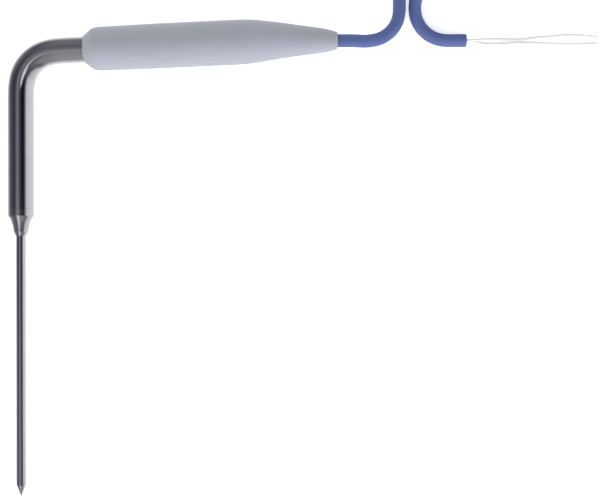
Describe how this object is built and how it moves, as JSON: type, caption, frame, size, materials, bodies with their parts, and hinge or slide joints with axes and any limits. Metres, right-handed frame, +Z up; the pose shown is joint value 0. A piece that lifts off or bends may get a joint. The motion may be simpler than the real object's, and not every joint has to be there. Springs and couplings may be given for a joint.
{
  "type": "core temperature probe",
  "caption": "L-shaped core temperature probe: thin pointed steel needle, bent steel tube, tapered silicone grip, silicone cable and bare-ended sensor leads.",
  "frame": {"origin": "centre of the base of the box round the probe without its free cable: on the plane that the grip's belly and the needle's end lie on", "axes": "+Z up from that plane; the needle points towards -Y; the grip's rear end and the cable point towards +X"},
  "size_m": [0.187, 0.2311, 0.0136],
  "materials": {
    "needle_steel": "fine ground stainless steel",
    "point_steel": "ground stainless steel",
    "reducer_steel": "turned stainless steel",
    "tube_steel": "polished stainless steel tube",
    "grip_silicone": "satin moulded silicone, light grey",
    "sensor_ceramic": "white ceramic chip",
    "sensor_sleeve": "amber polyimide film",
    "wire_white": "thin fluoropolymer insulation",
    "wire_red": "thin fluoropolymer insulation",
    "crimp_tinned": "tinned crimp",
    "shrink_black": "shrunk sleeve",
    "lead_white": "white silicone insulation",
    "seal_silicone": "moulded silicone",
    "ferrule_brass": "turned brass",
    "cable_blue": "satin extruded silicone",
    "tie_white": "plastic strap"
  },
  "bodies": {
    "root": {"needle_tube": "needle_steel", "needle_tip": "point_steel", "reducer": "reducer_steel", "bent_tube": "tube_steel", "handle_grip": "grip_silicone", "sensor_element": "sensor_ceramic", "sensor_sleeve": "sensor_sleeve", "sensor_wire_a": "wire_white", "sensor_wire_b": "wire_red", "splice_crimp_a": "crimp_tinned", "splice_crimp_b": "crimp_tinned", "splice_sleeve_a": "shrink_black", "splice_sleeve_b": "shrink_black", "core_lead_a": "lead_white", "core_lead_b": "lead_white", "tube_plug": "seal_silicone", "cable_ferrule": "ferrule_brass", "cable_near": "cable_blue", "cable_coil": "cable_blue", "cable_far": "cable_blue", "lead_upper": "lead_white", "lead_lower": "lead_white", "cable_tie_a": "tie_white", "cable_tie_b": "tie_white"}
  },
  "joints": []
}
